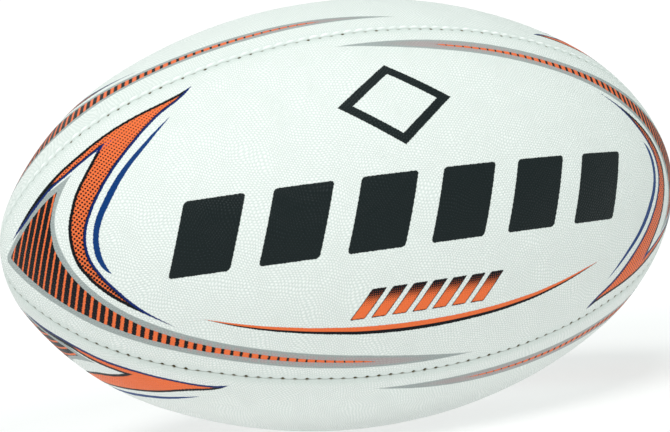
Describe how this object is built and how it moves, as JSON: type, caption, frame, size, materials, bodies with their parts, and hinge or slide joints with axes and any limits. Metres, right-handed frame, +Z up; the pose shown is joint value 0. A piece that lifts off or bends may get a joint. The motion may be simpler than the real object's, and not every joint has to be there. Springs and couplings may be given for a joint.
{
  "type": "rugby ball",
  "caption": "Oval leather-grained rubber ball sewn from lens-shaped laminated panels around an inflated bladder, with a needle valve in one panel.",
  "frame": {"origin": "centre of the ball", "axes": "+X along the long axis from tip to tip, +Z up through the valve; the seams lie at 45 degrees between Y and Z"},
  "size_m": [0.3, 0.185, 0.1849],
  "materials": {
    "cover_rubber": "satin, pimpled grain, printed",
    "ply_cloth": "woven, resin-coated",
    "thread": "waxed, twisted",
    "bladder_rubber": "smooth latex",
    "washer_cloth": "rubber-coated cloth",
    "valve_rubber": "moulded, matt",
    "plug_rubber": "moulded, satin"
  },
  "bodies": {
    "ball": {"cover_top": "cover_rubber", "cover_front": "cover_rubber", "cover_bottom": "cover_rubber", "cover_back": "cover_rubber", "ply_outer_top": "ply_cloth", "ply_middle_top": "ply_cloth", "ply_inner_top": "ply_cloth", "ply_outer_front": "ply_cloth", "ply_middle_front": "ply_cloth", "ply_inner_front": "ply_cloth", "ply_outer_bottom": "ply_cloth", "ply_middle_bottom": "ply_cloth", "ply_inner_bottom": "ply_cloth", "ply_outer_back": "ply_cloth", "ply_middle_back": "ply_cloth", "ply_inner_back": "ply_cloth", "seam_thread_top_back": "thread", "seam_thread_top_front": "thread", "seam_thread_bottom_front": "thread", "seam_thread_bottom_back": "thread", "bladder": "bladder_rubber", "valve_washer": "washer_cloth", "valve_housing": "valve_rubber"},
    "plug": {"valve_plug": "plug_rubber"}
  },
  "joints": [
    {"name": "plug_pull", "type": "slide", "parent": "ball", "child": "plug", "axis": [0, 0, 1], "range_m": [0, 0.02]}
  ]
}
